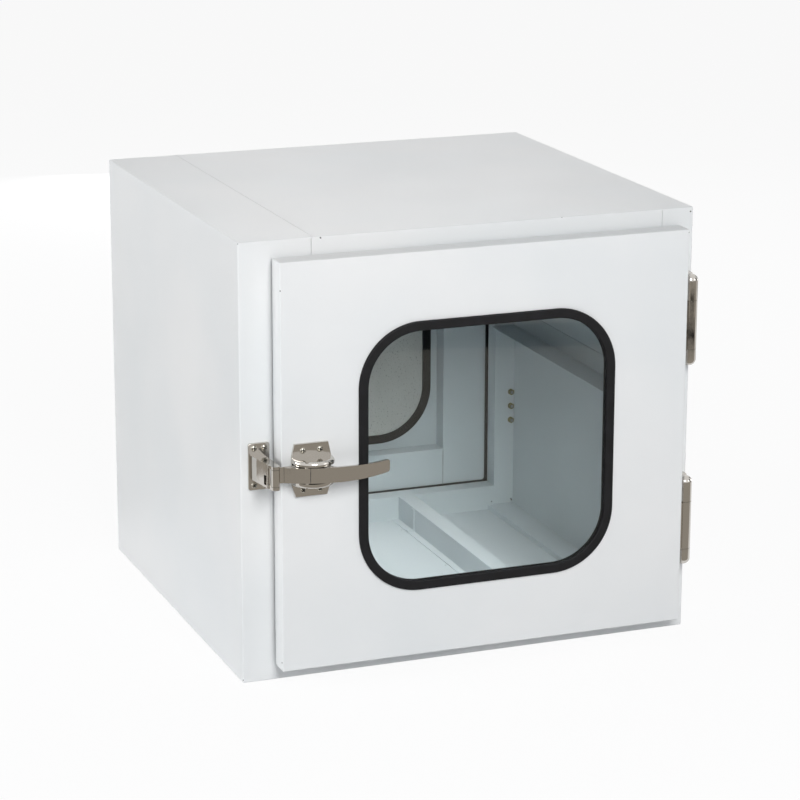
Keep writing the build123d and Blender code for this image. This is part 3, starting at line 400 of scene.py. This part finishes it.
def rounded_outline(x0, x1, z0, z1, radius):
    """Corner arcs of a rounded rectangle, as (x, z) points."""
    points = []
    for number, (x, z) in enumerate(((x1 - radius, z1 - radius), (x0 + radius, z1 - radius),
                                     (x0 + radius, z0 + radius), (x1 - radius, z0 + radius))):
        for step in range(CORNER_STEPS + 1):
            turn = math.pi / 2 * (number + step / CORNER_STEPS)
            points.append((x + radius * math.cos(turn), z + radius * math.sin(turn)))
    return points


def smoky_polythene(name):
    """Old polythene film on glass."""
    made, tree = new_material(name)
    where = add(tree, "ShaderNodeTexCoord").outputs["Object"]
    haze = tones(tree, where, 9.0, 0.3, 0.7, "#bdbcb8", "#cfceca")
    dust = add(tree, "ShaderNodeTexNoise", {"Vector": where, "Scale": 520.0, "Detail": 1.0})
    specks = add(tree, "ShaderNodeMapRange", {"Value": dust.outputs[0], "From Min": 0.66,
                                              "From Max": 0.74})
    tone = add(tree, "ShaderNodeMix", {"Factor": specks.outputs[0], "A": haze,
                                       "B": colour("#5c5a56")}, data_type="RGBA")
    shader = add(tree, "ShaderNodeBsdfPrincipled", {
        "Base Color": tone.outputs["Result"], "Roughness": 0.45, "IOR": 1.5})
    add(tree, "ShaderNodeOutputMaterial", {"Surface": shader.outputs[0]})
    return made


outline = rounded_outline(pane_low.x + FILM_EDGE, pane_high.x - FILM_EDGE, pane_low.z + FILM_EDGE,
                          pane_high.z - FILM_EDGE, FILM_CORNER)
film_mesh = bpy.data.meshes.new("rear_pane_film")
rows = [[(x, pane_low.y - depth, z) for x, z in outline] for depth in (FILM_BACK, FILM_FRONT)]
count = len(outline)
film_mesh.from_pydata(rows[0] + rows[1], [],
                      [tuple(range(count - 1, -1, -1)), tuple(range(count, 2 * count))]
                      + [(i, (i + 1) % count, (i + 1) % count + count, i + count)
                         for i in range(count)])
film = bpy.data.objects.new("rear_pane_film", film_mesh)
bpy.context.collection.objects.link(film)
film_mesh.materials.append(smoky_polythene("smoky_polythene_film"))
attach(film, "rear_door")

# ---- Latches, keepers, hinges and the interlock's metal ----
# Zinc die castings with bright chrome plate over a polished face: the plate mirrors the room and
# is only a little smeared by hands. Turned pins, rollers and the hidden lever work are as bright.


def plated(name, tint, roughness):
    """Plated or polished metal."""
    made, tree = new_material(name)
    where = add(tree, "ShaderNodeTexCoord").outputs["Object"]
    smear = add(tree, "ShaderNodeTexNoise", {"Vector": where, "Scale": 90.0, "Detail": 4.0})
    rough = add(tree, "ShaderNodeMapRange", {
        "Value": smear.outputs[0], "From Min": 0.35, "From Max": 0.7,
        "To Min": roughness, "To Max": roughness + 0.08})
    shader = add(tree, "ShaderNodeBsdfPrincipled", {
        "Base Color": colour(tint), "Metallic": 1.0, "Roughness": rough.outputs[0]})
    add(tree, "ShaderNodeOutputMaterial", {"Surface": shader.outputs[0]})
    return made


chrome = plated("bright_chrome_plate", "#c6c2bc", 0.05)
LATCH_EDGE, HINGE_EDGE, EDGE_MIN = 0.0006, 0.0005, 0.0003   # rounding of cast edges, shortest edge
for side in ("front", "rear"):
    for width, words in ((LATCH_EDGE, ("keeper", "latch_base", "latch_handle")),
                         (HINGE_EDGE, ("hinge_leaves", "lower_hinge_base", "upper_hinge_base"))):
        for word in words:
            node = f"{side}_{word}"
            eased(chrome, node, width, EDGE_MIN, node + "_casting")
dress(chrome, "front_keeper_roller", "rear_keeper_roller", "roller_pins",
      "front_latch_pin", "rear_latch_pin", "hinge_pins", "hinge_bolts",
      "interlock_bracket", "interlock_pin", "interlock_spring", "interlock_lever",
      "front_interlock_strike", "rear_interlock_strike")

# ---- Screws ----
# M4 pan-head screws, steel with bright plate, cold headed with a cross recess. They hold the
# keeper, the latch and the hinge leaf. The heads are pulled down, and their recesses stand at
# any angle.
HEAD_R, HEAD_H = 0.0041, 0.0028
ARM_LONG, ARM_WIDE, ARM_TALL = 0.0054, 0.0015, 0.0044   # two bars, set in the top, cut the cross


def link_input(tree, name, kind, value):
    """Named input of a geometry tree, with its usual value."""
    socket = tree.interface.new_socket(name, in_out="INPUT", socket_type=kind)
    if kind != "NodeSocketMaterial":
        socket.default_value = value
    return socket.identifier


screw_tree = bpy.data.node_groups.new("pan_head_screws", "GeometryNodeTree")
screw_tree.interface.new_socket("Places", in_out="INPUT", socket_type="NodeSocketGeometry")
screw_keys = {
    "radius": link_input(screw_tree, "Head radius", "NodeSocketFloat", HEAD_R),
    "height": link_input(screw_tree, "Head height", "NodeSocketFloat", HEAD_H),
    "facing": link_input(screw_tree, "Facing", "NodeSocketVector", (0.0, -1.0, 0.0)),
    "plate": link_input(screw_tree, "Plate", "NodeSocketMaterial", None),
    "dark_seams_and_painted_shade": link_input(screw_tree, "Recess shade", "NodeSocketMaterial", None),
}
screw_tree.interface.new_socket("Screws", in_out="OUTPUT", socket_type="NodeSocketGeometry")
given = screw_tree.nodes.new("NodeGroupInput").outputs
across = add(screw_tree, "ShaderNodeCombineXYZ", {0: given["Head radius"], 1: given["Head radius"],
                                                  2: given["Head height"]}).outputs[0]
ball = add(screw_tree, "GeometryNodeMeshUVSphere", {"Segments": 28, "Rings": 14, "Radius": 1.0})
dome = add(screw_tree, "GeometryNodeTransform", {"Geometry": ball.outputs[0], "Scale": across})
blank = add(screw_tree, "GeometryNodeMeshCube", {"Size": (0.02, 0.02, 0.01)})
above = add(screw_tree, "GeometryNodeTransform", {"Geometry": blank.outputs[0],
                                                  "Translation": (0.0, 0.0, 0.005)})
head = add(screw_tree, "GeometryNodeMeshBoolean", {"Mesh 2": dome.outputs[0]},
           operation="INTERSECT", solver="EXACT")
screw_tree.links.new(above.outputs[0], head.inputs["Mesh 2"])
recess = []
for arm in ((ARM_LONG, ARM_WIDE, ARM_TALL), (ARM_WIDE, ARM_LONG, ARM_TALL)):
    bar = add(screw_tree, "GeometryNodeMeshCube", {"Size": arm})
    # the recess walls take the near-black paint, painted shade inside the cross
    shade_painted_bar = add(screw_tree, "GeometryNodeSetMaterial", {"Geometry": bar.outputs[0],
                                                        "Material": given["Recess shade"]})
    recess.append(add(screw_tree, "GeometryNodeTransform", {"Geometry": shade_painted_bar.outputs[0],
                                                            "Translation": (0.0, 0.0, HEAD_H)}))
cut = add(screw_tree, "GeometryNodeMeshBoolean", {"Mesh 1": head.outputs[0],
                                                  "Mesh 2": recess[0].outputs[0]},
          operation="DIFFERENCE", solver="EXACT")
screw_tree.links.new(recess[1].outputs[0], cut.inputs["Mesh 2"])
turn = add(screw_tree, "FunctionNodeRandomValue", {2: 0.0, 3: 1.5, "Seed": 5}, data_type="FLOAT")
spin = add(screw_tree, "ShaderNodeCombineXYZ", {2: turn.outputs[1]})
faced = add(screw_tree, "FunctionNodeAlignEulerToVector", {"Vector": given["Facing"]}, axis="Z")
laid = add(screw_tree, "FunctionNodeRotateEuler", {"Rotation": faced.outputs[0],
                                                   "Rotate By": spin.outputs[0]}, space="LOCAL")
placed = add(screw_tree, "GeometryNodeInstanceOnPoints", {
    "Points": given["Places"], "Instance": cut.outputs[0], "Rotation": laid.outputs[0]})
real = add(screw_tree, "GeometryNodeRealizeInstances", {"Geometry": placed.outputs[0]})
in_recess = add(screw_tree, "GeometryNodeMaterialSelection", {"Material": given["Recess shade"]})
bright = add(screw_tree, "FunctionNodeBooleanMath", {0: in_recess.outputs[0]}, operation="NOT")
plated_heads = add(screw_tree, "GeometryNodeSetMaterial", {
    "Geometry": real.outputs[0], "Selection": bright.outputs[0], "Material": given["Plate"]})
add(screw_tree, "NodeGroupOutput", {0: plated_heads.outputs[0]})


def solids_of(node):
    """Lowest and highest corners of each separate solid in a CAD node."""
    shape = bmesh.new()
    shape.from_mesh(frame["nodes"][node].data)
    bmesh.ops.remove_doubles(shape, verts=shape.verts, dist=0.00001)
    left = set(shape.verts)
    boxes = []
    while left:
        reached = [left.pop()]
        found = []
        while reached:
            vert = reached.pop()
            found.append(vert.co.copy())
            for edge in vert.link_edges:
                other = edge.other_vert(vert)
                if other in left:
                    left.remove(other)
                    reached.append(other)
        boxes.append((Vector(map(min, zip(*found))), Vector(map(max, zip(*found)))))
    shape.free()
    return sorted(boxes, key=lambda box: tuple(box[0]))


def set_screws(node, facing, body, pick=lambda low: True, name=None):
    """Heads on a node's screws, all facing one way, as one piece."""
    way = Vector(facing)
    places = []
    for low, high in solids_of(node):
        middle = (low + high) / 2
        if pick(low):
            reach = max(abs((high - low) @ way) / 2 - HEAD_H, 0)
            places.append(middle + way * reach)
    mesh = bpy.data.meshes.new(name or node + "_heads")
    mesh.from_pydata(places, [], [])
    made = bpy.data.objects.new(mesh.name, mesh)
    bpy.context.collection.objects.link(made)
    heads = made.modifiers.new("heads", "NODES")
    heads.node_group = screw_tree
    for key, value in (("radius", HEAD_R), ("height", HEAD_H), ("facing", facing),
                       ("plate", screw_plate), ("dark_seams_and_painted_shade", dark_seams_and_painted_shade)):
        heads[screw_keys[key]] = value
    made.update_tag()
    bpy.context.view_layer.update()
    worked_out = made.evaluated_get(bpy.context.evaluated_depsgraph_get())
    solid = bpy.data.meshes.new_from_object(worked_out)
    made.modifiers.clear()
    solid.name = mesh.name
    made.data = solid
    solid.shade_smooth()
    solid.set_sharp_from_angle(angle=math.radians(35))
    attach(made, body)
    return made


# Matt, nearly black paint. In the screws' cross recesses it is painted shade; it also colours the
# cracks at the frame joints and the handle's parting line.
dark_seams_and_painted_shade, tree = new_material("dark_seams_and_recess_shade")
where = add(tree, "ShaderNodeTexCoord").outputs["Object"]
near_black = add(tree, "ShaderNodeBsdfPrincipled", {
    "Base Color": tones(tree, where, 900.0, 0.3, 0.7, "#1b1a18", "#34322e"), "Roughness": 0.55,
    "IOR": 1.5})
add(tree, "ShaderNodeOutputMaterial", {"Surface": near_black.outputs[0]})
# Zinc plate on the heads is softer and a little yellower than the chrome.
screw_plate = plated("bright_screw_plate", "#b5b1a6", 0.16)
for side, way in (("front", -1.0), ("rear", 1.0)):
    for word, facing in (("latch", (0.0, way, 0.0)), ("leaf", (1.0, 0.0, 0.0))):
        node = f"{side}_{word}_screws"
        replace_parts(set_screws(node, facing, f"{side}_door"), node)
front_four = set_screws("keeper_screws", (0.0, -1.0, 0.0), "casing", lambda low: low.y < 0,
                        "front_keeper_screw_heads")
rear_four = set_screws("keeper_screws", (0.0, 1.0, 0.0), "casing", lambda low: low.y > 0,
                       "rear_keeper_screw_heads")
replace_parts(front_four, "keeper_screws")
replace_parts(rear_four, "keeper_screws")

# ---- Hinge nuts ----
# M5 steel nuts on the hinge bolts' ends, inside the chamber. Their yellow zinc plate is dull
# and reads as olive brass in the shade.
dress(plated("yellow_zinc_plate", "#8d8660", 0.3), "hinge_nuts")

# ---- Cracked paint at the frame joints ----
# The frame's rails are butt-jointed between its stiles, and the brushed paint has cracked along
# each joint.
CRACK_WIDTH, CRACK_STEPS = 0.0007, 12
CRACK_SUNK, CRACK_PROUD = 0.0001, 0.00006   # how far a sliver reaches under and over the paint


def hairlines(name, finish, body, facing, lines, width):
    """Fine ragged cracks, each a closed sliver a hair proud of the sheet it lies on."""
    chance = random.Random(7)
    way = Vector(facing)
    shape = bmesh.new()
    for start, end in lines:
        start, end = Vector(start), Vector(end)
        across = (end - start).normalized().cross(way)
        rings = []
        for step in range(CRACK_STEPS + 1):
            wander = across * chance.uniform(-0.15, 0.15) * width
            middle = start.lerp(end, step / CRACK_STEPS) + wander
            half = width * chance.uniform(0.3, 0.6)
            rings.append([shape.verts.new(middle + across * half * hand + way * lift)
                          for lift, hand in ((-CRACK_SUNK, -1), (-CRACK_SUNK, 1),
                                             (CRACK_PROUD, 1), (CRACK_PROUD, -1))])
        for one, two in zip(rings, rings[1:]):
            for edge in range(4):
                shape.faces.new((one[edge], one[(edge + 1) % 4], two[(edge + 1) % 4], two[edge]))
        shape.faces.new(rings[0])
        shape.faces.new(rings[-1])
    bmesh.ops.recalc_face_normals(shape, faces=shape.faces)
    mesh = bpy.data.meshes.new(name)
    shape.to_mesh(mesh)
    shape.free()
    mesh.materials.append(finish)
    made = bpy.data.objects.new(name, mesh)
    bpy.context.collection.objects.link(made)
    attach(made, body)


for side, way in (("front", 1.0), ("rear", -1.0)):
    joints = []
    for low, high in solids_of(f"{side}_door_rails"):
        face = high.y if way > 0 else low.y
        joints += [((x, face, low.z), (x, face, high.z)) for x in (low.x, high.x)]
    hairlines(f"{side}_door_joint_cracks", dark_seams_and_painted_shade, f"{side}_door", (0.0, way, 0.0),
              joints, CRACK_WIDTH)

# ---- Parting line of the latch handle ----
# The bowed handle is pressed into the cast hub and pinned. The fit shows as a fine dark upright
# line across its front.
PARTING_X, PARTING_WIDTH = -0.2323, 0.0009
PARTING_END = 0.0008   # the line stops short of the handle's rounded edges
for side, way in (("front", 1.0), ("rear", -1.0)):
    shape = bmesh.new()
    shape.from_mesh(frame["nodes"][f"{side}_latch_handle"].data)
    handle_low, handle_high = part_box(f"{side}_latch_handle")
    middle = (handle_low.z + handle_high.z) / 2
    spot, facing, _, _ = BVHTree.FromBMesh(shape).ray_cast(Vector((PARTING_X, -way, middle)),
                                                           Vector((0.0, way, 0.0)))
    shape.free()
    upright = [((spot.x, spot.y, handle_low.z + PARTING_END),
                (spot.x, spot.y, handle_high.z - PARTING_END))]
    hairlines(f"{side}_handle_parting_line", dark_seams_and_painted_shade, f"{side}_handle", facing,
              upright, PARTING_WIDTH)
